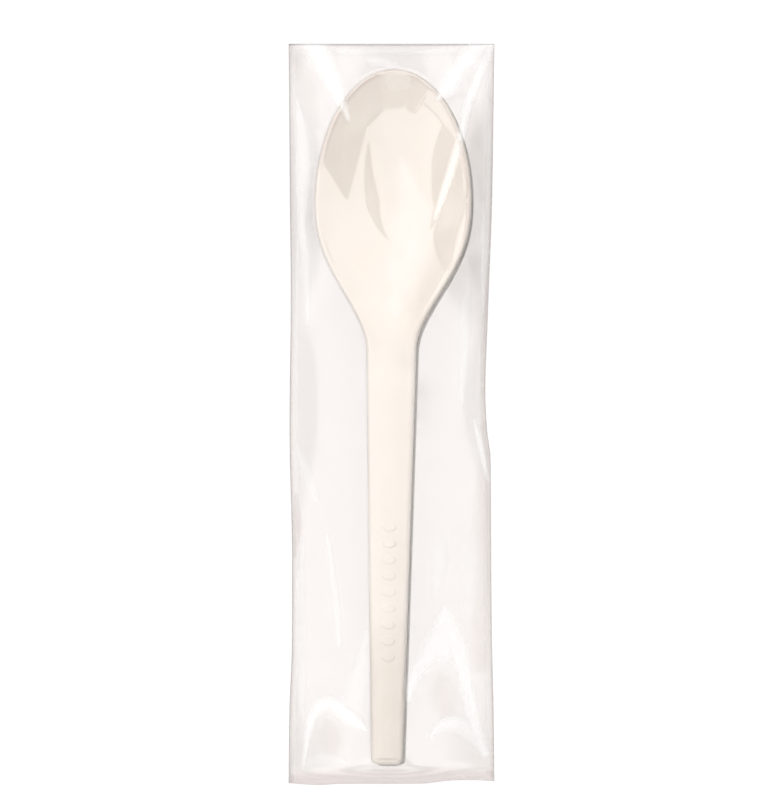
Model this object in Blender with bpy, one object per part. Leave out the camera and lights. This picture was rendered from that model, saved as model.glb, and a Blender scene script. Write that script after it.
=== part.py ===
"""A moulded disposable spoon, closed in a clear film bag.

The spoon lies face up on the bag's back sheet, and the front sheet is drawn over it like a tent.
Units are metres. +Z is up, +Y runs from the handle's end to the bowl's tip, and the origin is
under the middle of the bag, on the surface that it lies on.
"""

import math

import bpy
import numpy as np

MM = 0.001

# Spoon, as moulded
SPOON_LENGTH = 167 * MM
BOWL_WIDTH = 37.5 * MM
BOWL_LENGTH = 67.4 * MM  # from the tip to the neck
TIP_LENGTH = 31.4 * MM  # from the tip to the bowl's widest place
BOWL_DEPTH = 5.6 * MM
NECK_WIDTH = 12 * MM
HANDLE_END_WIDTH = 7.6 * MM
HANDLE_CORNER = 1.6 * MM  # radius of the end's two corners, seen from above
WALL = 1.3 * MM
RIM_FLAT = 0.35 * MM  # level ring round the bowl and the handle
RIM_HEIGHT = 1.6 * MM  # outer side of the bowl's rim
HANDLE_HEIGHT = 3.2 * MM  # outer side of the handle's channel
RIM_ROUND = 0.45 * MM
HANDLE_ROUND = 1.1 * MM
DRAFT = 0.3 * MM  # how far the outer side leans out, from top to bottom
FOOT_ROUND = 0.2 * MM
CHANNEL_DRAFT = 0.2 * MM
HANDLE_CROWN = 0.35 * MM
TIP_RISE = 0.4 * MM  # the tip over the rim's lowest place
NECK_RISE = 2.2 * MM  # the neck over the rim's lowest place
ARCH_RISE = 3.1 * MM  # the arch's top over the rim's lowest place
SHOULDER_RISE = 0.5 * MM  # halfway between the neck and the bowl's widest place
ARCH_PLACE = 13 * MM  # from the neck to the arch's top
EDGE_CHANGE_FROM = 14 * MM  # above the neck, where the bowl's thin edge starts to thicken
EDGE_CHANGE_LENGTH = 24 * MM
DISH_POWER = 2.1  # how square the bowl's cross-section is
DISH_RUNOUT = 4 * MM  # how far past the neck the bowl's hollow fades out
TIP_FULLNESS = 0.9  # under 1 keeps the bowl deep towards its tip
SHOULDER_POWER = 1.3  # over 1 widens the bowl sooner above the neck
HANDLE_BOW = 0.72  # share of the handle's rise that its middle has

# Raised oval pads along the handle, for the thumb
PAD_COUNT = 9
PAD_PITCH = 3.9 * MM
PAD_LENGTH = 2.1 * MM
PAD_WIDTH = 3.2 * MM
PAD_HEIGHT = 0.28 * MM
PAD_ROOT = 0.4 * MM  # how deep a pad's body reaches into the handle
PAD_TAPER = 0.72  # a pad's flat top as a share of its foot
PAD_SIDES = 10
PAD_ROW_FROM_END = 41.8 * MM  # from the handle's end to the middle of the row

# Bag
FILM = 0.05 * MM
SIDE_MARGIN = 6 * MM  # from the bowl's side to the bag's fold
TIP_MARGIN = 6.45 * MM
END_MARGIN = 4.95 * MM
CLEARANCE = 0.3 * MM  # between the spoon and the film, and between the two sheets
BOWL_FOLD_LIFT = 1.6 * MM  # how far the side folds stand off the table beside the bowl
NECK_FOLD_LIFT = 0.9 * MM
NECK_LIFT_LENGTH = 30 * MM  # each way from the arch's top
LIFT_REACH = 9 * MM  # how far in from a side fold the back sheet is lifted

# How the spoon lies in the bag
SPOON_TURN = math.radians(-0.63)
SPOON_SHIFT = -0.18 * MM

# Mesh
COLUMNS = 8  # cells across the spoon
CORNER_ROWS = 3  # cells along the handle's end corners, the handle, the shoulders and the tip
HANDLE_ROWS = 12
SHOULDER_ROWS = 13
TIP_ROWS = 12
LAST_TIP_ANGLE = 87.5  # degrees round the tip at which the last row lies
HANDLE_ROWS_PAST = 2 * MM  # how far past the neck the handle's rows run
LEAST_INNER = 0.5 * MM  # the upper face's least half width
STEEPEST = 1.0  # slope beyond which the wall isn't thickened further
PROBE = 0.2 * MM  # step for reading the upper face's slope
FINE_PROBE = 0.01 * MM  # and the outline's
FILM_COLUMNS = 96  # cells across the film, before it is thinned out
FILM_ROWS = 280
FILM_KEEP = 0.021  # share of the film's triangles that are kept
RELAX_STEPS = 350
OVER_RELAX = 1.93
FALL_OFF = 2.5  # slope of the held-up film's lower limit, just outside the spoon

# Places along the spoon and the bag
BAG_HALF_LENGTH = (SPOON_LENGTH + TIP_MARGIN + END_MARGIN) / 2
BAG_HALF_WIDTH = BOWL_WIDTH / 2 + SIDE_MARGIN
TIP_Y = BAG_HALF_LENGTH - TIP_MARGIN
END_Y = TIP_Y - SPOON_LENGTH
WIDEST_Y = TIP_Y - TIP_LENGTH
NECK_Y = TIP_Y - BOWL_LENGTH
ARCH_Y = NECK_Y - ARCH_PLACE

# Heights over the table
SEAT = FILM + CLEARANCE
RIM_Z = SEAT + WALL + BOWL_DEPTH
ARCH_Z = RIM_Z + ARCH_RISE
END_Z = SEAT + HANDLE_HEIGHT

# The bag's side folds: how far each is drawn in from a straight bag, at shares of half its length
RIGHT_DRAW = (
    (-1.0, 0.0),
    (-0.84, 0.15 * MM),
    (-0.56, 0.65 * MM),
    (-0.12, 0.95 * MM),
    (-0.04, 1.8 * MM),
    (0.06, 2.2 * MM),
    (0.26, 1.6 * MM),
    (0.58, 0.6 * MM),
    (1.0, 0.0),
)
LEFT_DRAW = (
    (-1.0, 0.0),
    (-0.8, 0.2 * MM),
    (-0.62, 0.8 * MM),
    (-0.4, 0.85 * MM),
    (-0.04, 0.25 * MM),
    (0.33, 0.55 * MM),
    (0.58, 0.35 * MM),
    (1.0, 0.0),
)
# The mouth's wavy edge: how far it falls short of the bag's length, at shares of half its width
MOUTH_WAVE = (
    (-1.0, 0.5 * MM),
    (-0.88, 0.2 * MM),
    (-0.7, 0.0),
    (-0.5, 0.3 * MM),
    (0.3, 0.35 * MM),
    (0.58, 1.1 * MM),
    (0.8, 1.2 * MM),
    (1.0, 0.9 * MM),
)
WAVE_REACH = 14 * MM

# Folds in the front sheet: half width, height, and where the crest runs, in shares of half the
# bag's width and half its length
TOP_LEFT_PULL = (2.4 * MM, 1.2 * MM, ((-0.75, 0.99), (-0.67, 0.96), (-0.58, 0.9), (-0.45, 0.81)))
LEFT_LONG = (1.8 * MM, 0.9 * MM, ((-0.92, 0.85), (-0.85, 0.75), (-0.84, 0.66), (-0.8, 0.3)))
TOP_RIGHT_PULL = (1.8 * MM, 1.1 * MM, ((0.83, 0.99), (0.7, 0.95), (0.6, 0.92), (0.5, 0.87)))
RIGHT_STREAK = (1.5 * MM, 1.0 * MM, ((0.95, 0.99), (0.84, 0.91), (0.73, 0.83), (0.56, 0.64)))
RIGHT_EDGE = (1.2 * MM, 0.6 * MM, ((0.89, 0.54), (0.89, 0.4), (0.86, 0.26)))
RIGHT_LONG = (1.8 * MM, 0.9 * MM, ((0.72, 0.38), (0.69, 0.2), (0.66, 0.01)))
RIGHT_TUCK = (1.1 * MM, 0.9 * MM, ((0.8, -0.01), (0.86, -0.09), (0.93, -0.18)))
LEFT_TUCK = (1.6 * MM, 0.8 * MM, ((-0.9, -0.1), (-0.82, -0.16), (-0.72, -0.24)))
LEFT_FOLD = (1.4 * MM, 0.9 * MM, ((-0.87, -0.33), (-0.9, -0.53), (-0.88, -0.8)))
LEFT_STREAK = (1.1 * MM, 0.6 * MM, ((-0.63, -0.33), (-0.54, -0.52), (-0.5, -0.63)))
LOW_LEFT_ARC = (
    1.8 * MM,
    1.2 * MM,
    ((-0.86, -0.95), (-0.81, -0.87), (-0.73, -0.81), (-0.58, -0.78), (-0.36, -0.83)),
)
LOW_LEFT_PULL = (1.8 * MM, 0.9 * MM, ((-0.3, -0.6), (-0.32, -0.7), (-0.38, -0.82)))
LOW_RIGHT_LEG = (1.8 * MM, 1.0 * MM, ((0.52, -0.52), (0.39, -0.64), (0.17, -0.72)))
LOW_RIGHT_OUTER_LEG = (
    1.8 * MM,
    1.2 * MM,
    ((0.52, -0.52), (0.64, -0.63), (0.79, -0.83), (0.9, -0.92)),
)
LOW_RIGHT_ARC = (
    1.4 * MM,
    0.8 * MM,
    ((0.38, -0.88), (0.44, -0.85), (0.58, -0.83), (0.75, -0.84)),
)
FOLDS = (
    TOP_LEFT_PULL,
    LEFT_LONG,
    TOP_RIGHT_PULL,
    RIGHT_STREAK,
    RIGHT_EDGE,
    RIGHT_LONG,
    RIGHT_TUCK,
    LEFT_TUCK,
    LEFT_FOLD,
    LEFT_STREAK,
    LOW_LEFT_ARC,
    LOW_LEFT_PULL,
    LOW_RIGHT_LEG,
    LOW_RIGHT_OUTER_LEG,
    LOW_RIGHT_ARC,
)
FOLD_STEPS = 60  # places along a fold's crest
FOLD_RUNOUT = 0.5  # under 1 keeps a fold's height further towards its ends
FLAT_HEM = 2.2 * MM  # no fold reaches this close to the bag's edges


def curve_through(points, at):
    """A smooth curve through points that are sorted by their first value, without overshoot."""
    xs, ys = (np.array(values, float) for values in zip(*points))
    steps = np.diff(xs)
    slopes = np.diff(ys) / steps
    ends = np.zeros(len(xs))
    same_way = slopes[:-1] * slopes[1:] > 0
    weight_a = 2 * steps[1:] + steps[:-1]
    weight_b = steps[1:] + 2 * steps[:-1]
    ends[1:-1] = np.divide(
        (weight_a + weight_b) * slopes[:-1] * slopes[1:],
        weight_a * slopes[1:] + weight_b * slopes[:-1],
        out=np.zeros(len(slopes) - 1),
        where=same_way,
    )
    ends[0], ends[-1] = slopes[0], slopes[-1]
    at = np.clip(at, xs[0], xs[-1])
    k = np.clip(np.searchsorted(xs, at) - 1, 0, len(steps) - 1)
    t = (at - xs[k]) / steps[k]
    return (
        ys[k] * (2 * t**3 - 3 * t**2 + 1)
        + ys[k + 1] * (3 * t**2 - 2 * t**3)
        + steps[k] * (ends[k] * (t**3 - 2 * t**2 + t) + ends[k + 1] * (t**3 - t**2))
    )


def ease(t):
    """From 0 to 1 with level ends."""
    t = np.clip(t, 0, 1)
    return t * t * (3 - 2 * t)


def half_width(y):
    """Half the spoon's width at y, at the foot of its outer side."""
    y = np.asarray(y, float)
    tip_share = np.clip((y - WIDEST_Y) / TIP_LENGTH, 0, 1)
    tip = BOWL_WIDTH / 2 * np.sqrt(1 - tip_share**2)
    along = np.clip((y - NECK_Y) / (WIDEST_Y - NECK_Y), 0, 1)
    shoulder = NECK_WIDTH / 2 + (BOWL_WIDTH - NECK_WIDTH) / 2 * ease(1 - (1 - along) ** SHOULDER_POWER)
    taper = np.interp(y, (END_Y, NECK_Y), (HANDLE_END_WIDTH / 2, NECK_WIDTH / 2))
    corner = np.clip(END_Y + HANDLE_CORNER - y, 0, HANDLE_CORNER)
    cut = HANDLE_CORNER - np.sqrt(HANDLE_CORNER**2 - corner**2)
    return np.where(y > WIDEST_Y, tip, np.where(y > NECK_Y, shoulder, taper - cut))


def handle_share(y):
    """0 in the bowl and 1 in the handle."""
    return ease((NECK_Y + EDGE_CHANGE_FROM - y) / EDGE_CHANGE_LENGTH)


def rim_height(y):
    """Height of the rim's level ring over the table."""
    stations = (
        (END_Y, END_Z),
        ((END_Y + ARCH_Y) / 2, END_Z + HANDLE_BOW * (ARCH_Z - END_Z)),
        (ARCH_Y, ARCH_Z),
        (NECK_Y, RIM_Z + NECK_RISE),
        ((NECK_Y + WIDEST_Y) / 2, RIM_Z + SHOULDER_RISE),
        (WIDEST_Y, RIM_Z),
        (TIP_Y, RIM_Z + TIP_RISE),
    )
    return curve_through(stations, y)


def dish_depth(y):
    """Depth of the bowl's middle under the rim at y."""
    tip = np.clip((y - WIDEST_Y) / (TIP_LENGTH - rim_inset(y)), 0, 1)
    back = ease((y - NECK_Y + DISH_RUNOUT) / (WIDEST_Y - NECK_Y + DISH_RUNOUT))
    return BOWL_DEPTH * np.where(y > WIDEST_Y, (1 - tip**2) ** TIP_FULLNESS, back)


def edge_round(y):
    """Radius of the upper edge at y."""
    return RIM_ROUND + (HANDLE_ROUND - RIM_ROUND) * handle_share(y)


def side_height(y):
    """Height of the outer side at y."""
    return RIM_HEIGHT + (HANDLE_HEIGHT - RIM_HEIGHT) * handle_share(y)


def rim_inset(y):
    """From the foot of the outer side to the inner edge of the level ring."""
    return DRAFT + edge_round(y) + RIM_FLAT


def outline_rows():
    """y, half width and outward direction of the outline's right side, from end to tip."""
    corner_turn = np.radians(np.linspace(0, 90, CORNER_ROWS + 1))
    tip_turn = np.radians(np.linspace(0, LAST_TIP_ANGLE, TIP_ROWS + 1))[1:]
    corner = END_Y + HANDLE_CORNER * (1 - np.cos(corner_turn))
    handle = np.linspace(corner[-1], NECK_Y + HANDLE_ROWS_PAST, HANDLE_ROWS + 1)[1:]
    shoulder = np.linspace(handle[-1], WIDEST_Y, SHOULDER_ROWS + 1)[1:]
    tip = WIDEST_Y + TIP_LENGTH * np.sin(tip_turn)
    y = np.concatenate([corner, handle, shoulder, tip])
    low, high = np.maximum(y - FINE_PROBE, END_Y), np.minimum(y + FINE_PROBE, TIP_Y)
    lean = (half_width(high) - half_width(low)) / (high - low)
    lean[0] = 0
    normal = np.stack([1 / np.hypot(1, lean), -lean / np.hypot(1, lean)], 1)
    normal[0] = (0, -1)
    return y, half_width(y), normal


def spoon_top(x, y):
    """Height of the spoon's upper face in its own frame."""
    inner = np.maximum(half_width(np.clip(y, END_Y, TIP_Y)) - rim_inset(y), LEAST_INNER)
    across = np.clip(np.abs(x) / inner, 0, 1)
    dish = dish_depth(y) * (1 - across**DISH_POWER)
    crown = HANDLE_CROWN * handle_share(y) * (1 - across**2)
    return rim_height(y) - dish + crown


def spoon_under(x, y):
    """Height of the underside, one wall below the upper face."""
    slope_x = (spoon_top(x + PROBE, y) - spoon_top(x - PROBE, y)) / (2 * PROBE)
    slope_y = (spoon_top(x, y + PROBE) - spoon_top(x, y - PROBE)) / (2 * PROBE)
    slope = np.minimum(np.hypot(slope_x, slope_y), STEEPEST)
    return spoon_top(x, y) - WALL * np.sqrt(1 + slope**2)


def grid_loop(rows, columns):
    """The border of a grid as (row, column) pairs, anticlockwise from above."""
    loop = [(0, j) for j in range(columns)]
    loop += [(i, columns) for i in range(rows)]
    loop += [(rows, j) for j in range(columns, 0, -1)]
    loop += [(i, 0) for i in range(rows, 0, -1)]
    return loop


def spoon_mesh():
    """One closed shell: an upper and a lower grid, and the outer side that joins them."""
    y, width, normal = outline_rows()
    rows, columns = len(y) - 1, COLUMNS
    across = np.linspace(-1, 1, columns + 1)

    def inset_grid(inset, height):
        """Points of the outline drawn in by inset, with heights from a function or array."""
        row_y = (y - inset * normal[:, 1])[:, None] * np.ones(columns + 1)
        x = (width - inset * normal[:, 0])[:, None] * across
        return np.stack([x, row_y, height(x, row_y)], 2)

    def rim_grid(inset, drop):
        """A ring's points, drop below the level ring at the same place along the spoon."""
        return inset_grid(inset, lambda x, row_y: (rim_height(y) - drop)[:, None] + 0 * x)

    round_by = edge_round(y)
    tall = side_height(y)
    inset = rim_inset(y)
    bend = 1 - math.sqrt(0.5)
    upper = inset_grid(inset, spoon_top)
    under = inset_grid(WALL + CHANNEL_DRAFT, spoon_under)
    rings = [
        rim_grid(DRAFT + round_by, 0 * y),
        rim_grid(DRAFT + bend * round_by, bend * round_by),
        rim_grid(DRAFT, round_by),
        rim_grid(0 * y, tall - FOOT_ROUND),
        rim_grid(FOOT_ROUND + 0 * y, tall),
        rim_grid(WALL + 0 * y, tall),
    ]
    loop = grid_loop(rows, columns)
    points = list(upper.reshape(-1, 3))
    under_from = len(points)
    points += list(under.reshape(-1, 3))
    stride = columns + 1
    strips = [[i * stride + j for i, j in loop]]
    for ring in rings:
        strips.append(list(range(len(points), len(points) + len(loop))))
        points += [ring[i, j] for i, j in loop]
    strips.append([under_from + i * stride + j for i, j in loop])

    faces = []
    for i in range(rows):
        for j in range(columns):
            a, b = i * stride + j, (i + 1) * stride + j
            faces.append((a, a + 1, b + 1, b))
            faces.append((under_from + a, under_from + b, under_from + b + 1, under_from + a + 1))
    for inner, outer in zip(strips, strips[1:]):
        for k in range(len(loop)):
            n = (k + 1) % len(loop)
            faces.append((inner[k], outer[k], outer[n], inner[n]))
    return points, faces


def pad_mesh(centre_y):
    """A low oval pad whose root is sunk in the handle's upper face."""
    points, faces = [], []
    for share, lift in ((1.0, -PAD_ROOT), (1.0, 0.0), (PAD_TAPER, 1.0)):
        for k in range(PAD_SIDES):
            angle = 2 * math.pi * k / PAD_SIDES
            x = share * PAD_WIDTH / 2 * math.cos(angle)
            y = centre_y + share * PAD_LENGTH / 2 * math.sin(angle)
            height = lift * PAD_HEIGHT if lift > 0 else lift
            points.append((x, y, float(spoon_top(x, np.array(y))) + height))
    for level in range(2):
        for k in range(PAD_SIDES):
            n = (k + 1) % PAD_SIDES
            a, b = level * PAD_SIDES, (level + 1) * PAD_SIDES
            faces.append((a + k, a + n, b + n, b + k))
    faces.append(tuple(reversed(range(PAD_SIDES))))
    faces.append(tuple(range(2 * PAD_SIDES, 3 * PAD_SIDES)))
    return points, faces


def to_spoon_frame(x, y):
    """Where a point over the table lies in the frame of the turned and shifted spoon."""
    cos, sin = math.cos(SPOON_TURN), math.sin(SPOON_TURN)
    return cos * (x - SPOON_SHIFT) + sin * y, cos * y - sin * (x - SPOON_SHIFT)


def film_plan():
    """x and y of the film's points, as rows from the mouth to the seal and columns from left."""
    along = np.linspace(-1, 1, FILM_ROWS + 1)[:, None]
    share = np.linspace(-1, 1, FILM_COLUMNS + 1)[None, :]
    fade = ease(1 - (along + 1) * BAG_HALF_LENGTH / WAVE_REACH)
    y = along * BAG_HALF_LENGTH + curve_through(MOUTH_WAVE, share) * fade
    left = -BAG_HALF_WIDTH + curve_through(LEFT_DRAW, y / BAG_HALF_LENGTH)
    right = BAG_HALF_WIDTH - curve_through(RIGHT_DRAW, y / BAG_HALF_LENGTH)
    return left + (right - left) * (share + 1) / 2, y


def fold_lift(y):
    """How far the side folds stand off the table."""
    bowl = BOWL_FOLD_LIFT * ease(1 - np.abs(y - WIDEST_Y) / TIP_LENGTH)
    neck = NECK_FOLD_LIFT * ease(1 - np.abs(y - ARCH_Y) / NECK_LIFT_LENGTH)
    return bowl + neck


def back_sheet(x, y):
    """The back sheet lies on the table and rises to the side folds."""
    reach = np.minimum(x - x[:, :1], x[:, -1:] - x)
    return FILM / 2 + fold_lift(y) * ease(1 - reach / LIFT_REACH) ** 2


def smooth_path(points, count):
    """Places on a Catmull-Rom curve through points."""
    knots = np.array(points)
    knots = np.vstack([2 * knots[0] - knots[1], knots, 2 * knots[-1] - knots[-2]])
    t = np.linspace(0, len(points) - 1, count)
    k = np.clip(t.astype(int), 0, len(points) - 2)
    s = (t - k)[:, None]
    a, b, c, d = knots[k], knots[k + 1], knots[k + 2], knots[k + 3]
    square = (2 * a - 5 * b + 4 * c - d) * s**2
    return 0.5 * (2 * b + (c - a) * s + square + (3 * b - a - 3 * c + d) * s**3)


def ridge(x, y, fold):
    """A fold's added height: a smooth bump along its crest, fading out at both ends."""
    fold_width, rise, crest = fold
    path = smooth_path(crest, FOLD_STEPS) * (BAG_HALF_WIDTH, BAG_HALF_LENGTH)
    fade = np.sin(np.pi * (np.arange(FOLD_STEPS) + 1) / (FOLD_STEPS + 1)) ** FOLD_RUNOUT
    bump = np.zeros(x.shape)
    for (px, py), strength in zip(path, fade):
        away = ((x - px) ** 2 + (y - py) ** 2) / fold_width**2
        bump = np.maximum(bump, strength * np.exp(-away))
    return rise * bump


def distance_outside(x, y):
    """How far a point is outside the spoon's outline, as seen from above; 0 inside it."""
    row_y, width, _ = outline_rows()
    corners = np.vstack([(0, END_Y), np.stack([width, row_y], 1), (0, TIP_Y)])
    inside = (np.abs(x) < half_width(y)) & (y > END_Y) & (y < TIP_Y)
    nearest = np.full(x.shape, np.inf)
    for (ax, ay), (bx, by) in zip(corners, corners[1:]):
        run_x, run_y = bx - ax, by - ay
        t = ((np.abs(x) - ax) * run_x + (y - ay) * run_y) / (run_x**2 + run_y**2)
        t = np.clip(t, 0, 1)
        away = np.hypot(np.abs(x) - ax - t * run_x, y - ay - t * run_y)
        nearest = np.minimum(nearest, away)
    return np.where(inside, 0, nearest)


def held_up(x, y):
    """The least height of the front sheet over the spoon and close beside it."""
    local_x, local_y = to_spoon_frame(x, y)
    along = np.clip(local_y, END_Y, TIP_Y)
    across = np.minimum(np.abs(local_x), half_width(along))
    on_ring = across > half_width(along) - rim_inset(along)
    top = np.where(on_ring, rim_height(along), spoon_top(across, along))
    outside = np.maximum(distance_outside(local_x, local_y) - CLEARANCE, 0)
    return top + PAD_HEIGHT * handle_share(along) + CLEARANCE + FILM - FALL_OFF * outside


def relax(height, floor, step_x, step_y):
    """Draws the sheet tight between its borders and over the floor beneath it."""
    weight_x, weight_y = 1 / step_x**2, 1 / step_y**2
    share = OVER_RELAX / (2 * (weight_x + weight_y))
    row, column = np.indices(height.shape)
    colour = (row + column) % 2
    inner = np.zeros(height.shape, bool)
    inner[1:-1, 1:-1] = True
    for _ in range(RELAX_STEPS):
        for turn in (0, 1):
            pull = np.zeros(height.shape)
            pull[1:-1, 1:-1] = weight_x * (
                height[1:-1, 2:] + height[1:-1, :-2] - 2 * height[1:-1, 1:-1]
            ) + weight_y * (height[2:, 1:-1] + height[:-2, 1:-1] - 2 * height[1:-1, 1:-1])
            moved = np.maximum(height + share * pull, floor)
            height = np.where(inner & (colour == turn), moved, height)
    return height


def front_sheet(x, y, back):
    """The front sheet, drawn tight from the spoon to the side folds, with its creases added."""
    rest = back + CLEARANCE + FILM
    floor = np.maximum(rest, held_up(x, y))
    step_x, step_y = 2 * BAG_HALF_WIDTH / FILM_COLUMNS, 2 * BAG_HALF_LENGTH / FILM_ROWS
    height = relax(rest.copy(), floor, step_x, step_y)
    for fold in FOLDS:
        height = height + ridge(x, y, fold)
    from_side = np.minimum(x - x[:, :1], x[:, -1:] - x)
    from_end = np.minimum(y[-1:, :] - y, y - y[:1, :])
    height = rest + (height - rest) * ease(from_side / FLAT_HEM) * ease(from_end / FLAT_HEM)
    return np.maximum(height, floor)


def film_mesh():
    """The film's middle surface: front and back sheets that share the side folds and the seal."""
    x, y = film_plan()
    back = back_sheet(x, y)
    front = front_sheet(x, y, back)
    rows, columns = FILM_ROWS, FILM_COLUMNS
    stride = columns + 1
    seam = (front + back) / 2
    for sheet in (front, back):
        sheet[:, 0], sheet[:, -1], sheet[-1, :] = seam[:, 0], seam[:, -1], seam[-1, :]
    points = [(x[i, j], y[i, j], front[i, j]) for i in range(rows + 1) for j in range(stride)]
    under = {}
    for i in range(rows + 1):
        for j in range(stride):
            if j in (0, columns) or i == rows:
                under[i, j] = i * stride + j
            else:
                under[i, j] = len(points)
                points.append((x[i, j], y[i, j], back[i, j]))
    faces = []
    for i in range(rows):
        for j in range(columns):
            upper = [(i, j), (i, j + 1), (i + 1, j + 1), (i + 1, j)]
            if j < columns / 2:
                upper = upper[1:] + upper[:1]
            for corners in (upper[:3], (upper[0], upper[2], upper[3])):
                faces.append([r * stride + c for r, c in corners])
                faces.append([under[corner] for corner in reversed(corners)])
    return points, faces


def material(name, colour, roughness):
    made = bpy.data.materials.new(name)
    made.use_nodes = True
    shader = made.node_tree.nodes["Principled BSDF"]
    shader.inputs["Base Color"].default_value = (*colour[:3], 1)
    shader.inputs["Roughness"].default_value = roughness
    shader.inputs["Metallic"].default_value = 0
    shader.inputs["Alpha"].default_value = colour[3] if len(colour) > 3 else 1
    return made


def add_object(name, points, faces, finish=None):
    mesh = bpy.data.meshes.new(name)
    mesh.from_pydata([tuple(map(float, p)) for p in points], [], faces)
    mesh.validate()
    mesh.update()
    made = bpy.data.objects.new(name, mesh)
    bpy.context.scene.collection.objects.link(made)
    if finish:
        made.data.materials.append(finish)
    return made


def make_spoon(finish):
    """The spoon with its row of pads joined on, laid as it lies in the bag."""
    spoon = add_object("spoon", *spoon_mesh(), finish)
    middle = END_Y + PAD_ROW_FROM_END
    for k in range(PAD_COUNT):
        centre = middle + (k - (PAD_COUNT - 1) / 2) * PAD_PITCH
        pad = add_object(f"pad_form_{k + 1}", *pad_mesh(centre))
        pad.hide_render = True
        pad.display_type = "WIRE"
        join = spoon.modifiers.new(f"pad_{k + 1}", "BOOLEAN")
        join.operation = "UNION"
        join.object = pad
        pad.parent = spoon
    spoon.location.x = SPOON_SHIFT
    spoon.rotation_euler.z = SPOON_TURN
    spoon.data.shade_smooth()
    spoon.data.set_sharp_from_angle(angle=math.radians(40))
    return spoon


def make_film(finish):
    """The bag: one tube of film, sealed at the tip end, with its lips pressed together below."""
    film = add_object("film_wrapper", *film_mesh(), finish)
    thin_out = film.modifiers.new("thin_out", "DECIMATE")
    thin_out.ratio = FILM_KEEP
    thick = film.modifiers.new("film_thickness", "SOLIDIFY")
    thick.thickness = FILM
    thick.offset = 0
    film.data.shade_smooth()
    return film


def main():
    for old in list(bpy.data.objects):
        bpy.data.objects.remove(old)
    make_spoon(material("spoon_plastic", (0.93, 0.87, 0.78), 0.38))
    make_film(material("clear_film", (0.9, 0.88, 0.87, 0.2), 0.12))


main()
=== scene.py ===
"""The wrapped spoon's looks: a fine spoon, its creased clear film bag, materials, light and camera.

Metres, +Z up, +Y from the handle's end to the bowl's tip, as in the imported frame.
"""

import math

import bpy
import numpy as np
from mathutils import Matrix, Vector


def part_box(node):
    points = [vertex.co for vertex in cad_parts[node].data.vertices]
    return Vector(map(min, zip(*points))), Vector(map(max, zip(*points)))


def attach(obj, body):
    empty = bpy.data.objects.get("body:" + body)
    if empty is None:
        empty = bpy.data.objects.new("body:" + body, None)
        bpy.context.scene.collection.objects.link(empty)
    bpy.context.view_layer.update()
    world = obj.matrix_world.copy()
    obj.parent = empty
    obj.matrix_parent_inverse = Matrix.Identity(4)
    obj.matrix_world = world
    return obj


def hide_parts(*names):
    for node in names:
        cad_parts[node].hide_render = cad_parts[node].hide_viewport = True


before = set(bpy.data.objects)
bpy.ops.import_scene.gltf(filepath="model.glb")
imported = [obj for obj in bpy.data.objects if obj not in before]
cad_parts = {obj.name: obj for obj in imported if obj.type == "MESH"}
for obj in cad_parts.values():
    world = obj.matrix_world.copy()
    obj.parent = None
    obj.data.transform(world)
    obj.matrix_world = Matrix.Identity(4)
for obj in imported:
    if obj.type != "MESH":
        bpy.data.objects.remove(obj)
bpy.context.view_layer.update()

MM = 0.001
FILM_LOW, FILM_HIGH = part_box("film_wrapper")

# Spoon, as moulded
BOWL_WIDTH = 37.5 * MM
BOWL_LENGTH = 67.4 * MM
TIP_LENGTH = 31.4 * MM
BOWL_DEPTH = 5.6 * MM
NECK_WIDTH = 12 * MM
HANDLE_END_WIDTH = 7.6 * MM
HANDLE_CORNER = 1.6 * MM
WALL = 1.3 * MM
RIM_FLAT = 0.35 * MM
RIM_HEIGHT = 1.6 * MM
HANDLE_HEIGHT = 3.2 * MM
RIM_ROUND = 0.45 * MM  # upper edge of the bowl's rim; the handle's is rounder
HANDLE_ROUND = 1.1 * MM
DRAFT = 0.3 * MM
FOOT_ROUND = 0.2 * MM
CHANNEL_DRAFT = 0.2 * MM
HANDLE_CROWN = 0.35 * MM
TIP_RISE = 0.4 * MM
NECK_RISE = 2.2 * MM
ARCH_RISE = 3.1 * MM
SHOULDER_RISE = 0.5 * MM
ARCH_PLACE = 13 * MM
EDGE_CHANGE_FROM = 14 * MM
EDGE_CHANGE_LENGTH = 24 * MM
DISH_POWER = 2.1
DISH_RUNOUT = 4 * MM
TIP_FULLNESS = 0.9
SHOULDER_POWER = 1.3
HANDLE_BOW = 0.72  # share of the arch's rise that is reached half way to it
DISH_LEAST_HALF = 0.5 * MM
WALL_SLOPE_MOST = 1.0

# Raised oval pads along the handle
PAD_COUNT = 9
PAD_PITCH = 3.9 * MM
PAD_LENGTH = 2.1 * MM
PAD_WIDTH = 3.2 * MM
PAD_HEIGHT = 0.28 * MM
PAD_ROW_FROM_END = 41.8 * MM
PAD_FOOT = 1.08  # where a pad's flank ends, as a share of its oval
PAD_FLANK = 0.24  # how wide the flank is, as a share of its oval

# Bag
FILM = 0.05 * MM
TIP_MARGIN = 6.45 * MM
END_MARGIN = 4.95 * MM
CLEARANCE = 0.3 * MM
SPOON_TURN = math.radians(-0.63)
SPOON_SHIFT = -0.18 * MM

# Places along the spoon and the bag, and heights over the table
BAG_HALF_WIDTH = (FILM_HIGH[0] - FILM_LOW[0]) / 2
BAG_HALF_LENGTH = (FILM_HIGH[1] - FILM_LOW[1]) / 2
TIP_Y = BAG_HALF_LENGTH - TIP_MARGIN
END_Y = -BAG_HALF_LENGTH + END_MARGIN
WIDEST_Y = TIP_Y - TIP_LENGTH
NECK_Y = TIP_Y - BOWL_LENGTH
ARCH_Y = NECK_Y - ARCH_PLACE
SEAT = FILM + CLEARANCE
RIM_Z = SEAT + WALL + BOWL_DEPTH
ARCH_Z = RIM_Z + ARCH_RISE
END_Z = SEAT + HANDLE_HEIGHT

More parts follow.
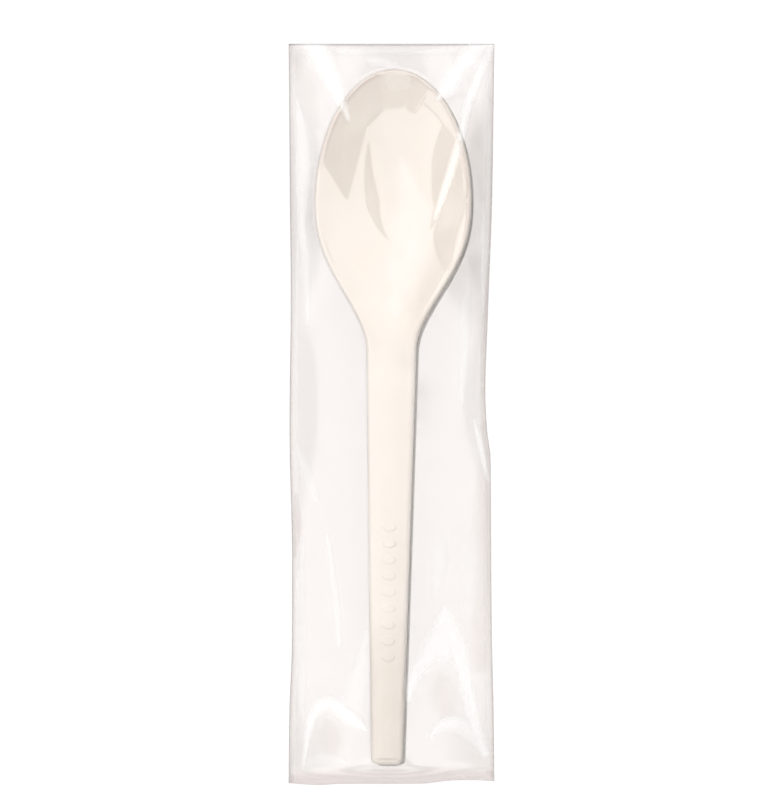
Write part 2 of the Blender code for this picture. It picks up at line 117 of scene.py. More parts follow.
# Mesh
SPOON_COLUMNS = 44
HANDLE_ROWS = 120  # as many as the handle would have without pads
PAD_ROWS = 240
HANDLE_PAST_NECK = 2 * MM
SHOULDER_ROWS = 56
TIP_ROWS = 48
CORNER_ROWS = 8
ROUND_STEPS = 5
FOOT_STEPS = 3
LAST_TIP_TURN = 88.6  # degrees; at 90 the last row would have no width
SLOPE_STEP = 0.2 * MM
LEAN_STEP = 0.01 * MM
LEAST_LENGTH = 1e-9  # added to a length that may be 0 before it divides
SHARP_ANGLE = math.radians(50)
OUTLINE_STRIDE = 3  # outline points for each corner of the coarser outline
FILM_COLUMNS = 150
FILM_ROWS = 260
BACK_STEP = 6  # front cells for each cell across the back
RELAX_STEPS = 350
OVER_RELAX = 1.93
FALL_OFF = 2.5  # how steeply the film may drop beside the spoon

# Side folds and mouth, as in the frame
BOWL_FOLD_LIFT = 1.6 * MM
NECK_FOLD_LIFT = 0.9 * MM
NECK_LIFT_LENGTH = 30 * MM
LIFT_REACH = 9 * MM
RIGHT_DRAW = (
    (-1.0, 0.0),
    (-0.84, 0.15 * MM),
    (-0.56, 0.65 * MM),
    (-0.12, 0.95 * MM),
    (-0.04, 1.8 * MM),
    (0.06, 2.2 * MM),
    (0.26, 1.6 * MM),
    (0.58, 0.6 * MM),
    (1.0, 0.0),
)
LEFT_DRAW = (
    (-1.0, 0.0),
    (-0.8, 0.2 * MM),
    (-0.62, 0.8 * MM),
    (-0.4, 0.85 * MM),
    (-0.04, 0.25 * MM),
    (0.33, 0.55 * MM),
    (0.58, 0.35 * MM),
    (1.0, 0.0),
)
MOUTH_WAVE = (
    (-1.0, 0.5 * MM),
    (-0.88, 0.2 * MM),
    (-0.7, 0.0),
    (-0.5, 0.3 * MM),
    (0.3, 0.35 * MM),
    (0.58, 1.1 * MM),
    (0.8, 1.2 * MM),
    (1.0, 0.9 * MM),
)
WAVE_REACH = 14 * MM

# Creases in the front sheet: how strong the painted highlight along each is (a milk-white band),
# how high in millimetres, how soft at the edges, and along the crest x, y and half width in millimetres
CREASES = (
    (0.7, 0.12, 1.0, (
        (-18.8, 88.9, 2.7), (-17.2, 86.0, 2.4), (-15.3, 82.2, 2.0), (-13.6, 78.8, 1.5),
        (-12.1, 75.0, 1.1), (-10.9, 72.1, 0.6), (-10.3, 70.2, 0.2),
    )),
    (0.38, 0.05, 1.0, (
        (-22.7, 75.5, 0.2), (-22.0, 71.2, 0.8), (-21.4, 66.6, 1.3), (-21.2, 62.3, 1.6),
        (-21.1, 58.7, 1.7), (-21.3, 53.9, 1.4), (-21.5, 47.9, 0.9), (-21.6, 40.0, 0.3),
    )),
    (0.25, 0.03, 1.0, ((-21.0, 44.0, 0.4), (-20.6, 36.0, 0.9), (-20.3, 28.0, 0.7), (-20.0, 21.0, 0.2))),
    (0.35, 0.0, 1.0, ((-5.8, 84.9, 0.4), (-3.4, 84.6, 1.2), (-0.6, 84.0, 0.7), (1.4, 83.5, 0.3))),
    (0.22, 0.0, 1.0, ((-0.6, 79.7, 1.0), (1.7, 79.8, 2.0), (4.0, 79.5, 1.0))),
    (0.65, 0.03, 1.0, (
        (21.6, 88.9, 2.5), (18.9, 86.2, 2.1), (16.4, 83.0, 1.8), (14.6, 80.3, 1.8), (13.0, 77.9, 1.5),
        (11.2, 75.6, 0.5),
    )),
    (0.65, 0.0, 1.0, (
        (23.9, 88.4, 1.2), (22.2, 84.6, 1.1), (20.8, 81.2, 1.0), (19.3, 77.2, 1.0), (18.1, 73.8, 1.0),
        (17.2, 69.5, 0.9), (16.4, 65.9, 0.9),
    )),
    (0.42, 0.0, 0.7, (
        (16.4, 65.9, 0.9), (15.2, 61.6, 1.0), (13.8, 57.0, 1.1), (12.1, 51.5, 0.8), (10.4, 46.7, 0.2),
    )),
    (0.4, 0.04, 0.8, ((22.0, 47.2, 0.2), (22.0, 40.7, 0.5), (22.0, 31.1, 0.5), (22.0, 24.1, 0.2))),
    (0.32, 0.02, 1.0, (
        (18.4, 32.3, 0.3), (17.9, 25.1, 1.1), (17.5, 16.7, 1.2), (17.2, 8.3, 0.9), (16.9, 2.5, 0.3),
    )),
    (0.6, 0.08, 0.8, ((19.8, -1.3, 0.2), (21.0, -6.1, 0.6), (22.0, -10.4, 0.6), (23.2, -15.7, 0.2))),
    (0.2, 0.04, 1.0, (
        (-22.4, -8.5, 0.5), (-21.0, -12.4, 1.2), (-19.6, -16.2, 1.2), (-17.9, -20.5, 0.5),
    )),
    (0.22, 0.02, 1.0, (
        (-21.2, -29.2, 0.3), (-21.8, -37.3, 0.8), (-22.0, -46.9, 1.1), (-21.9, -56.5, 1.1),
        (-21.6, -66.1, 1.0), (-21.4, -71.9, 0.5),
    )),
    (0.26, 0.02, 1.0, (
        (-15.5, -28.7, 0.3), (-14.3, -37.3, 0.6), (-13.1, -46.9, 0.7), (-12.4, -55.3, 0.3),
    )),
    (0.2, 0.0, 1.0, ((12.4, -28.6, 0.6), (11.6, -35.4, 1.6), (10.4, -42.2, 0.8))),
    (0.2, 0.03, 1.0, ((19.8, -29.2, 0.9), (19.3, -38.5, 2.0), (18.8, -47.9, 0.9))),
    (0.62, 0.03, 1.0, (
        (12.7, -46.3, 0.4), (12.0, -50.6, 1.8), (10.7, -54.6, 2.5), (8.9, -57.9, 2.1),
        (6.7, -60.7, 1.6), (5.0, -63.8, 1.3), (4.2, -68.2, 0.6),
    )),
    (0.62, 0.0, 1.0, ((12.7, -48.0, 1.0), (12.9, -51.6, 2.4), (12.7, -54.8, 3.3), (12.4, -56.4, 3.4))),
    (0.65, 0.04, 1.0, (
        (12.7, -46.3, 0.4), (13.9, -50.6, 1.7), (15.4, -55.2, 2.1), (16.8, -60.0, 1.7),
        (18.1, -66.1, 1.4), (19.5, -73.0, 1.4), (21.0, -78.1, 1.2), (22.4, -81.9, 0.6),
    )),
    (0.6, 0.04, 1.0, (
        (9.2, -77.9, 0.2), (10.7, -75.6, 0.8), (12.6, -74.3, 1.3), (15.0, -74.1, 1.5),
        (17.2, -74.9, 1.7), (19.3, -76.6, 1.6), (21.2, -79.2, 1.2), (23.0, -81.9, 0.5),
    )),
    (0.58, 0.05, 1.0, (
        (-21.2, -84.8, 0.3), (-20.5, -80.0, 0.6), (-19.6, -75.2, 0.9), (-18.4, -71.9, 1.2),
        (-16.4, -69.9, 1.4), (-14.3, -69.5, 1.5), (-12.1, -70.9, 1.6), (-10.2, -72.6, 1.6),
        (-8.2, -74.0, 1.2), (-6.4, -75.4, 0.5),
    )),
    (0.3, 0.0, 1.0, ((-6.0, -52.0, 0.3), (-6.8, -58.4, 1.2), (-7.8, -64.2, 2.2), (-9.2, -69.0, 2.4))),
    (0.32, 0.0, 1.0, (
        (-21.2, -84.0, 0.5), (-17.6, -83.0, 1.4), (-14.0, -83.0, 1.3), (-11.2, -83.8, 0.5),
    )),
    (0.18, 0.0, 1.0, (
        (2.4, 60.0, 0.8), (4.6, 52.0, 3.0), (5.0, 45.0, 4.6), (4.4, 38.0, 4.6), (2.6, 31.0, 3.4),
        (1.0, 25.0, 1.6),
    )),
    (0.3, 0.0, 1.0, ((-12.4, 87.5, 0.5), (-5.2, 87.5, 0.7), (9.2, 87.5, 0.7), (15.2, 87.5, 0.5))),
)
# Painted shade on the film, where it is bunched or folds away from the light: how much, how soft, and
# where
SHADES = (
    (0.8, 0.5, (
        (22.9, 36.6, 0.2), (23.0, 27.5, 0.6), (22.9, 15.5, 0.6), (22.7, 3.5, 0.6), (23.2, -4.2, 0.2),
    )),
    (0.8, 0.8, ((-22.9, -19.6, 0.5), (-22.9, -26.5, 1.1), (-23.4, -34.0, 0.5))),
    (0.7, 0.9, ((21.2, -2.3, 0.2), (22.4, -6.1, 0.6), (23.4, -10.4, 0.5))),
    (0.45, 1.0, ((11.6, -62.8, 1.0), (12.4, -67.3, 3.0), (13.6, -71.0, 2.0))),
    (0.45, 1.0, ((-15.7, -73.8, 0.7), (-14.8, -77.6, 2.8), (-14.3, -80.6, 1.6))),
    (1.0, 1.0, ((-24.8, -87.9, 1.5), (-12.4, -87.9, 1.7), (9.2, -87.5, 1.7), (24.6, -86.8, 1.4))),
    (0.2, 1.0, ((14.5, 45.0, 0.8), (11.5, 39.5, 2.0), (8.8, 33.0, 1.6), (7.0, 27.5, 0.8))),
    (0.5, 1.0, ((22.5, -2.0, 0.6), (22.0, -22.0, 2.0), (21.6, -42.0, 2.4), (21.4, -60.0, 2.0))),
    (0.45, 1.0, (
        (13.6, 75.5, 0.7), (17.9, 76.4, 1.2), (19.8, 68.3, 1.9), (21.2, 58.7, 1.7), (21.7, 51.5, 0.7),
    )),
    (0.35, 1.0, ((-22.9, 85.1, 1.0), (-20.5, 79.3, 1.7), (-19.1, 73.6, 1.7), (-17.6, 68.8, 0.7))),
)
CREASE_STEPS = 40
THINNEST_CREASE = 0.05 * MM
COVER_REACH = (1.2, 0.5)  # in half widths, and how much more for a soft one
COVER_EDGE = (0.3, 1.2)
BAND_SPREAD = 0.9

# Where the film is pressed flat: along the sides and the seal, and at the mouth
FLAT_HEM = 1.2 * MM
MOUTH_HEM = 1.6 * MM
MOUTH_FADE = 2.8 * MM

# Painted shadow beside the spoon, on the back sheet: a dark line between the spoon's outline and that
# outline moved right and down
PAINTED_SHADOW_SHIFT = (0.6 * MM, -0.36 * MM)
FAR_AWAY = (9.0, 9.0, 0, 1)

# Painted shade on the film over the spoon's rim. Its ends are y and length in millimetres
RIM_SHADE = 0.7
RIM_SHADE_RIGHT = 0.8
RIM_SHADE_START = 0.3 * MM
RIM_SHADE_PAST = 0.5 * MM
RIM_SHADE_FADE = 0.6 * MM
LEFT_SHADE_END = (56, 6)
RIGHT_SHADE_END = (38, 8)

# The film over the bowl, in millimetres: it sags in facets that meet at soft creases.
# Slopes are heights by distance, and a fade is the y where it starts and its length
INSIDE_MOST = 14
INSIDE_STEPS = 197
CAP_SLOPE = 0.2
RIM_SLOPE = 1.2
RIM_SLOPE_FADE = (60, 8)
CAP_END_LEAN = 0.64
CAP_END_FADE = 2
SAG = 1.95
SAG_RISE = 0.064
SAG_TURN = (0.02, 0.001)
SAG_BACK = 71.6
CAP_END = (4.9, 71.6)
LEDGE = -0.02
LEDGE_AT = (-10.6, 50.6)
LEDGE_FALL = 0.1
TONGUE_LEAN = (1.18, 0.71)
CREASE_SOFT = 0.14
TONGUE_SOFT = 0.05
STREAK_STEEP = 0.17
STREAK_FADE = (38, 5)
STREAK_EDGE = (
    (38.0, 1.5), (41.8, -1.4), (46.0, -4.2), (50.5, -6.0), (58.0, -6.4), (67.6, -5.8), (72.0, -6.2),
)
PLEAT_FOOT = ((34.0, 12.4), (44.0, 9.8), (58.7, 9.5), (65.2, 10.6), (72.0, 13.6), (80.0, 17.0))
PLEAT_CREST = (
    (34.0, 12.6), (43.5, 10.0), (46.9, 11.0), (56.8, 14.4), (65.6, 17.0), (73.6, 18.6), (80.0, 20.4),
)
PLEAT_RISE = 0.1
PLEAT_STEEP = 0.45
PLEAT_STEEP_WIDTH = 1.3
PLEAT_FALL = 0.17
PLEAT_FADE = (40, 12)
FALL_FADE = (32, 8)
SAG_FADE = (16, 24)
RIM_HOLD = 0.4

# Picture
PICTURE_HEIGHT = 192 * MM
AIM = (-0.6 * MM, 3.47 * MM, 4 * MM)
CAMERA_DISTANCE = 1.3
SENSOR = 32.0

# Colours
WHITE = (1, 1, 1, 1)
CREAM_DARK = (0.876, 0.828, 0.766, 1)
CREAM_PALE = (0.902, 0.860, 0.804, 1)
FILM_CLEAR = (0.970, 0.959, 0.953, 1)
FILM_EDGE_ON = (0.84, 0.82, 0.805, 1)
# The film's painted shade, painted shadow beside the spoon and painted highlight
FILM_SHADE = (0.915, 0.891, 0.884, 1)
FILM_PAINTED_SHADOW = (0.59, 0.575, 0.56, 1)
FILM_PAINTED_HIGHLIGHT = (0.985, 0.98, 0.975, 1)

# Spoon's skin: scales are those of its noise
MOTTLE_SCALE = 140.0
FLOW_SCALE = 420.0
FLOW_STRETCH = (1.0, 0.12, 1.0)
MOTTLE_SHARE = 0.6
FLOW_SHARE = 0.4
SKIN_SCALE = 2600.0
SPOON_IOR = 1.46
SPOON_ROUGHNESS = (0.38, 0.47)
SKIN_TEXTURE = 0.02 * MM
SKIN_STRENGTH = 0.12

# Film: how much it mirrors face on and how much more edge on, how strong its painted highlight gets,
# how rough it is, and, in millimetres, how wide its border and its border's painted shade are and the
# edges of the painted shadow
GLOSS = (0.055, 0.6)
GLOSS_POWER = 5.0
EDGE_ON_POWER = 3.0
PAINTED_HIGHLIGHT_MOST = 0.7
STREAK_SCALE = 300.0
CLOUD_SCALE = 90.0
FILM_ROUGHNESS = (0.09, 0.14)
BORDER_ROUGHNESS = 0.18
BORDER_ROUGH_EDGE = (0.8, 4.5)
BORDER_LINE_EDGE = (0.75, 0.1)
BORDER_LINE_SHARE = 0.5
PAINTED_SHADOW_EDGE = (0.15, -0.15)
PAINTED_SHADOW_INNER_EDGE = (-0.3, 0.0)

# Floor: its own glow, and what it reflects where it is seen and for other rays
FLOOR_GLOW = 0.775
FLOOR_SEEN = (0.25, 0.25, 0.25, 1)
FLOOR_UNSEEN = (0.3, 0.3, 0.3, 1)
FLOOR_REACH = 12.0
FLOOR_DROP = 0.02 * MM

# Light: strengths, and the two values between which each part fades. A direction's height is
# 1 at the zenith, its place in the lamp is 1 at the lamp's size, and UNLIT_EDGE is along LIT_FROM
CEILING = 0.3
RING = 1.5
CEILING_EDGE = (0.97, 0.79)
WALL_LIGHT = 0.4
WALL_EDGE = (0.52, 0.42)
HORIZON = (0.0, 0.15)
LIT_FROM = (-0.6, 0.8)
UNLIT_SIDE = 0.1
UNLIT_EDGE = (-0.75, 0.0)
UNLIT_HEIGHT = (0.50, 0.36)
LAMP = 1.5
LAMP_AT = (-0.05, 0.02)
LAMP_SIZE = (0.15, 0.34)
LAMP_EDGE = (1.25, 0.65)
LAMP_HEIGHT = (0.8, 0.9)


def curve_through(points, at):
    """A smooth curve through points that are sorted by their first value, without overshoot."""
    xs, ys = (np.array(values, float) for values in zip(*points))
    steps = np.diff(xs)
    slopes = np.diff(ys) / steps
    ends = np.zeros(len(xs))
    same_way = slopes[:-1] * slopes[1:] > 0
    weight_a = 2 * steps[1:] + steps[:-1]
    weight_b = steps[1:] + 2 * steps[:-1]
    ends[1:-1] = np.divide(
        (weight_a + weight_b) * slopes[:-1] * slopes[1:],
        weight_a * slopes[1:] + weight_b * slopes[:-1],
        out=np.zeros(len(slopes) - 1),
        where=same_way,
    )
    ends[0], ends[-1] = slopes[0], slopes[-1]
    at = np.clip(at, xs[0], xs[-1])
    k = np.clip(np.searchsorted(xs, at) - 1, 0, len(steps) - 1)
    t = (at - xs[k]) / steps[k]
    return (
        ys[k] * (2 * t**3 - 3 * t**2 + 1)
        + ys[k + 1] * (3 * t**2 - 2 * t**3)
        + steps[k] * (ends[k] * (t**3 - 2 * t**2 + t) + ends[k + 1] * (t**3 - t**2))
    )


def ease(t):
    """From 0 to 1 with level ends."""
    t = np.clip(t, 0, 1)
    return t * t * (3 - 2 * t)


def rising(at, start, length):
    """From 0 at start to 1 one length beyond it, with level ends."""
    return ease((at - start) / length)


def half_width(y):
    """Half the spoon's width at y, at the foot of its outer side."""
    y = np.asarray(y, float)
    tip_share = np.clip((y - WIDEST_Y) / TIP_LENGTH, 0, 1)
    tip = BOWL_WIDTH / 2 * np.sqrt(1 - tip_share**2)
    along = np.clip((y - NECK_Y) / (WIDEST_Y - NECK_Y), 0, 1)
    shoulder = NECK_WIDTH / 2 + (BOWL_WIDTH - NECK_WIDTH) / 2 * ease(1 - (1 - along) ** SHOULDER_POWER)
    taper = np.interp(y, (END_Y, NECK_Y), (HANDLE_END_WIDTH / 2, NECK_WIDTH / 2))
    corner = np.clip(END_Y + HANDLE_CORNER - y, 0, HANDLE_CORNER)
    cut = HANDLE_CORNER - np.sqrt(HANDLE_CORNER**2 - corner**2)
    return np.where(y > WIDEST_Y, tip, np.where(y > NECK_Y, shoulder, taper - cut))


def handle_share(y):
    """0 in the bowl and 1 in the handle."""
    return ease((NECK_Y + EDGE_CHANGE_FROM - y) / EDGE_CHANGE_LENGTH)


def rim_height(y):
    """Height of the rim's level ring over the table."""
    stations = (
        (END_Y, END_Z),
        ((END_Y + ARCH_Y) / 2, END_Z + HANDLE_BOW * (ARCH_Z - END_Z)),
        (ARCH_Y, ARCH_Z),
        (NECK_Y, RIM_Z + NECK_RISE),
        ((NECK_Y + WIDEST_Y) / 2, RIM_Z + SHOULDER_RISE),
        (WIDEST_Y, RIM_Z),
        (TIP_Y, RIM_Z + TIP_RISE),
    )
    return curve_through(stations, y)


def edge_round(y):
    """Radius of the upper edge at y."""
    return RIM_ROUND + (HANDLE_ROUND - RIM_ROUND) * handle_share(y)


def side_height(y):
    """Height of the outer side at y."""
    return RIM_HEIGHT + (HANDLE_HEIGHT - RIM_HEIGHT) * handle_share(y)


def rim_inset(y):
    """From the foot of the outer side to the inner edge of the level ring."""
    return DRAFT + edge_round(y) + RIM_FLAT


def dish_depth(y):
    """Depth of the bowl's middle under the rim at y."""
    tip = np.clip((y - WIDEST_Y) / (TIP_LENGTH - rim_inset(y)), 0, 1)
    back = ease((y - NECK_Y + DISH_RUNOUT) / (WIDEST_Y - NECK_Y + DISH_RUNOUT))
    return BOWL_DEPTH * np.where(y > WIDEST_Y, (1 - tip**2) ** TIP_FULLNESS, back)


def spoon_top(x, y):
    """Height of the spoon's upper face in its own frame, without the pads."""
    inner = np.maximum(half_width(np.clip(y, END_Y, TIP_Y)) - rim_inset(y), DISH_LEAST_HALF)
    across = np.clip(np.abs(x) / inner, 0, 1)
    dish = dish_depth(y) * (1 - across**DISH_POWER)
    crown = HANDLE_CROWN * handle_share(y) * (1 - across**2)
    return rim_height(y) - dish + crown


def pads(x, y):
    """Added height of the row of oval pads, each with a soft shoulder and a flat top."""
    middle = END_Y + PAD_ROW_FROM_END
    place = np.clip(np.round((y - middle) / PAD_PITCH), -(PAD_COUNT // 2), PAD_COUNT // 2)
    off_y = y - middle - place * PAD_PITCH
    from_middle = np.hypot(x / (PAD_WIDTH / 2), off_y / (PAD_LENGTH / 2))
    return PAD_HEIGHT * ease((PAD_FOOT - from_middle) / PAD_FLANK)


def spoon_under(x, y):
    """Height of the underside, one wall below the upper face."""
    step = SLOPE_STEP
    slope_x = (spoon_top(x + step, y) - spoon_top(x - step, y)) / (2 * step)
    slope_y = (spoon_top(x, y + step) - spoon_top(x, y - step)) / (2 * step)
    slope = np.minimum(np.hypot(slope_x, slope_y), WALL_SLOPE_MOST)
    return spoon_top(x, y) - WALL * np.sqrt(1 + slope**2)


def outline_rows():
    """y, half width and outward direction of the outline's right side, from end to tip."""
    turn = np.radians(np.linspace(0, 90, CORNER_ROWS + 1))
    corner = END_Y + HANDLE_CORNER * (1 - np.cos(turn))
    pad_reach = (PAD_COUNT + 1) * PAD_PITCH / 2
    pads_at = END_Y + PAD_ROW_FROM_END
    plain = np.linspace(corner[-1], NECK_Y + HANDLE_PAST_NECK, HANDLE_ROWS + 1)[1:]
    padded = np.linspace(pads_at - pad_reach, pads_at + pad_reach, PAD_ROWS + 1)
    handle = np.concatenate([plain[plain < padded[0]], padded, plain[plain > padded[-1]]])
    shoulder = np.linspace(handle[-1], WIDEST_Y, SHOULDER_ROWS + 1)[1:]
    tip_turn = np.radians(np.linspace(0, LAST_TIP_TURN, TIP_ROWS + 1))
    tip = WIDEST_Y + TIP_LENGTH * np.sin(tip_turn)[1:]
    y = np.concatenate([corner, handle, shoulder, tip])
    low, high = np.maximum(y - LEAN_STEP, END_Y), np.minimum(y + LEAN_STEP, TIP_Y)
    lean = (half_width(high) - half_width(low)) / (high - low)
    lean[0] = 0
    normal = np.stack([1 / np.hypot(1, lean), -lean / np.hypot(1, lean)], 1)
    normal[0] = (0, -1)
    return y, half_width(y), normal


def grid_loop(rows, columns):
    """The border of a grid as (row, column) pairs, anticlockwise from above."""
    loop = [(0, j) for j in range(columns)]
    loop += [(i, columns) for i in range(rows)]
    loop += [(rows, j) for j in range(columns, 0, -1)]
    loop += [(i, 0) for i in range(rows, 0, -1)]
    return loop


def spoon_mesh():
    """One closed shell: an upper and a lower grid, and the outer side that joins them."""
    y, width, normal = outline_rows()
    rows, columns = len(y) - 1, SPOON_COLUMNS
    across = np.linspace(-1, 1, columns + 1)

    def inset_grid(inset, height):
        """Points of the outline drawn in by inset, with heights from a function."""
        row_y = (y - inset * normal[:, 1])[:, None] * np.ones(columns + 1)
        x = (width - inset * normal[:, 0])[:, None] * across
        return np.stack([x, row_y, height(x, row_y)], 2)

    def rim_grid(inset, drop):
        """A ring's points, drop below the level ring at the same place along the spoon."""
        return inset_grid(inset, lambda x, row_y: (rim_height(y) - drop)[:, None] + 0 * x)

    round_by, tall = edge_round(y), side_height(y)
    upper = inset_grid(rim_inset(y), lambda x, row_y: spoon_top(x, row_y) + pads(x, row_y))
    under = inset_grid(WALL + CHANNEL_DRAFT, spoon_under)
    rings = []
    for turn in np.linspace(0, math.pi / 2, ROUND_STEPS + 1):
        inset = DRAFT + round_by * (1 - math.sin(turn))
        rings.append(rim_grid(inset, round_by * (1 - math.cos(turn))))
    for turn in np.linspace(0, math.pi / 2, FOOT_STEPS + 1):
        inset = FOOT_ROUND * (1 - math.cos(turn)) + 0 * y
        rings.append(rim_grid(inset, tall - FOOT_ROUND * (1 - math.sin(turn))))
    rings.append(rim_grid(WALL + 0 * y, tall))

    loop = grid_loop(rows, columns)
    stride = columns + 1
    points = list(upper.reshape(-1, 3))
    under_from = len(points)
    points += list(under.reshape(-1, 3))
    strips = [[i * stride + j for i, j in loop]]
    for ring in rings:
        strips.append(list(range(len(points), len(points) + len(loop))))
        points += [ring[i, j] for i, j in loop]
    strips.append([under_from + i * stride + j for i, j in loop])
    faces = []
    for i in range(rows):
        for j in range(columns):
            a, b = i * stride + j, (i + 1) * stride + j
            faces.append((a, a + 1, b + 1, b))
            faces.append((under_from + a, under_from + b, under_from + b + 1, under_from + a + 1))
    for inner, outer in zip(strips, strips[1:]):
        for k in range(len(loop)):
            n = (k + 1) % len(loop)
            faces.append((inner[k], outer[k], outer[n], inner[n]))
    return np.array(points), faces


def to_spoon_frame(x, y):
    """Where a point over the table lies in the frame of the turned and shifted spoon."""
    cos, sin = math.cos(SPOON_TURN), math.sin(SPOON_TURN)
    return cos * (x - SPOON_SHIFT) + sin * y, cos * y - sin * (x - SPOON_SHIFT)


def from_spoon_frame(points):
    """The spoon's points, turned and shifted as it lies in the bag."""
    cos, sin = math.cos(SPOON_TURN), math.sin(SPOON_TURN)
    x, y, z = points.T
    return np.stack([cos * x - sin * y + SPOON_SHIFT, sin * x + cos * y, z], 1)


def film_plan():
    """x and y of the film's points, as rows from the mouth to the seal and columns from left."""
    along = np.linspace(-1, 1, FILM_ROWS + 1)[:, None]
    share = np.linspace(-1, 1, FILM_COLUMNS + 1)[None, :]
    fade = ease(1 - (along + 1) * BAG_HALF_LENGTH / WAVE_REACH)
    y = along * BAG_HALF_LENGTH + curve_through(MOUTH_WAVE, share) * fade
    left = -BAG_HALF_WIDTH + curve_through(LEFT_DRAW, y / BAG_HALF_LENGTH)
    right = BAG_HALF_WIDTH - curve_through(RIGHT_DRAW, y / BAG_HALF_LENGTH)
    return left + (right - left) * (share + 1) / 2, y


def fold_lift(y):
    """How far the side folds stand off the table."""
    bowl = BOWL_FOLD_LIFT * ease(1 - np.abs(y - WIDEST_Y) / TIP_LENGTH)
    neck = NECK_FOLD_LIFT * ease(1 - np.abs(y - ARCH_Y) / NECK_LIFT_LENGTH)
    return bowl + neck


def back_sheet(x, y):
    """The back sheet lies on the table and rises to the side folds."""
    reach = np.minimum(x - x[:, :1], x[:, -1:] - x)
    return FILM / 2 + fold_lift(y) * ease(1 - reach / LIFT_REACH) ** 2


def smooth_path(points, count):
    """Places on a Catmull-Rom curve through points."""
    knots = np.array(points, float)
    knots = np.vstack([2 * knots[0] - knots[1], knots, 2 * knots[-1] - knots[-2]])
    t = np.linspace(0, len(points) - 1, count)
    k = np.clip(t.astype(int), 0, len(points) - 2)
    s = (t - k)[:, None]
    a, b, c, d = knots[k], knots[k + 1], knots[k + 2], knots[k + 3]
    square = (2 * a - 5 * b + 4 * c - d) * s**2
    return 0.5 * (2 * b + (c - a) * s + square + (3 * b - a - 3 * c + d) * s**3)


def stroke(x, y, crest, soft):
    """Cover (0 to 1) and a rounder bump along a crest whose points are (x, y, half width)."""
    path = smooth_path(crest, CREASE_STEPS) * MM
    reach = COVER_REACH[0] + COVER_REACH[1] * soft
    edge = COVER_EDGE[0] + COVER_EDGE[1] * soft
    cover, bump = np.zeros(x.shape), np.zeros(x.shape)
    for (ax, ay, a_wide), (bx, by, b_wide) in zip(path, path[1:]):
        run_x, run_y = bx - ax, by - ay
        t = np.clip(((x - ax) * run_x + (y - ay) * run_y) / (run_x**2 + run_y**2), 0, 1)
        wide = np.maximum(a_wide + (b_wide - a_wide) * t, THINNEST_CREASE)
        share = np.hypot(x - ax - t * run_x, y - ay - t * run_y) / wide
        cover = np.maximum(cover, ease((reach - share) / edge))
        bump = np.maximum(bump, np.exp(-((share / BAND_SPREAD) ** 2)) * np.minimum(1, wide / MM))
    return cover, bump


def higher(a, b, soft=CREASE_SOFT):
    """The greater of two heights, with a soft crease where they meet."""
    return 0.5 * (a + b + np.sqrt((a - b) ** 2 + soft**2))


def lower(a, b, soft=CREASE_SOFT):
    """The lesser of two heights, with a soft crease where they meet."""
    return -higher(-a, -b, soft)


def over(a):
    """A distance where it is positive and otherwise 0, with a soft crease between."""
    return higher(a, 0.0)


def inside_rim(x, y):
    """How far a point lies inside the rim, in millimetres, outward from the widest place."""
    local_x, local_y = to_spoon_frame(x, y)
    way_x, way_y = local_x, local_y - WIDEST_Y
    size = np.hypot(way_x, way_y) + LEAST_LENGTH
    inside = np.zeros(x.shape)
    for reach in np.linspace(0, INSIDE_MOST, INSIDE_STEPS) * MM:
        near_x, near_y = local_x + reach * way_x / size, local_y + reach * way_y / size
        held = np.abs(near_x) < half_width(near_y) - rim_inset(near_y)
        held &= near_y < TIP_Y - rim_inset(near_y)
        inside = np.where(held, np.maximum(inside, reach / MM), inside)
    return inside


def bowl_facets(x, y):
    """How far the film over the bowl lies below a drum skin, in metres."""
    inside = inside_rim(x, y)
    x, y = x / MM, y / MM
    beyond_cap = x - CAP_END[0] - CAP_END_LEAN * (y - CAP_END[1])
    steep_from, steep_length = RIM_SLOPE_FADE
    steep = np.maximum(ease((steep_from - y) / steep_length), ease(beyond_cap / CAP_END_FADE))
    ramp = -(CAP_SLOPE + (RIM_SLOPE - CAP_SLOPE) * steep) * inside

    ledge = LEDGE - LEDGE_FALL * over(y - LEDGE_AT[1])
    lean_x, lean_y = TONGUE_LEAN
    tongue = LEDGE - LEDGE_FALL * (lean_x * (x - LEDGE_AT[0]) + lean_y * (y - LEDGE_AT[1]))
    left = higher(ledge, lower(tongue, LEDGE, TONGUE_SOFT), TONGUE_SOFT)

    edge = curve_through(STREAK_EDGE, y)
    aside = np.maximum(x - edge, 0)
    middle = -SAG + SAG_RISE * (SAG_BACK - y) + SAG_TURN[0] * aside + SAG_TURN[1] * aside**2
    middle = lower(middle, LEDGE)
    right = higher(middle, ledge - STREAK_STEEP * (x - edge))

    foot, crest = curve_through(PLEAT_FOOT, y), curve_through(PLEAT_CREST, y)
    rise = PLEAT_RISE * over(x - foot) + PLEAT_STEEP * over(x - crest + PLEAT_STEEP_WIDTH)
    top = PLEAT_RISE * (crest - foot) + PLEAT_STEEP * PLEAT_STEEP_WIDTH
    fade = rising(y, *PLEAT_FADE)
    fall = PLEAT_FALL * over(x - crest) * rising(y, *FALL_FADE)
    pleat = lower(rise * fade, top * fade - fall)

    sag = left + (right - left) * (x > edge) * rising(y, *STREAK_FADE) + pleat
    return higher(ramp, sag * rising(y, *SAG_FADE)) * ease(inside / RIM_HOLD) * MM


def from_outline(x, y):
    """How far a point is outside the spoon's outline, as seen from above; negative inside it."""
    row_y, width, _ = outline_rows()
    keep = slice(None, None, OUTLINE_STRIDE)
    corners = np.vstack([(0, END_Y), np.stack([width[keep], row_y[keep]], 1), (0, TIP_Y)])
    inside = (np.abs(x) < half_width(y)) & (y > END_Y) & (y < TIP_Y)
    nearest = np.full(x.shape, np.inf)
    for (ax, ay), (bx, by) in zip(corners, corners[1:]):
        run_x, run_y = bx - ax, by - ay
        t = ((np.abs(x) - ax) * run_x + (y - ay) * run_y) / (run_x**2 + run_y**2)
        t = np.clip(t, 0, 1)
        away = np.hypot(np.abs(x) - ax - t * run_x, y - ay - t * run_y)
        nearest = np.minimum(nearest, away)
    return np.where(inside, -nearest, nearest)


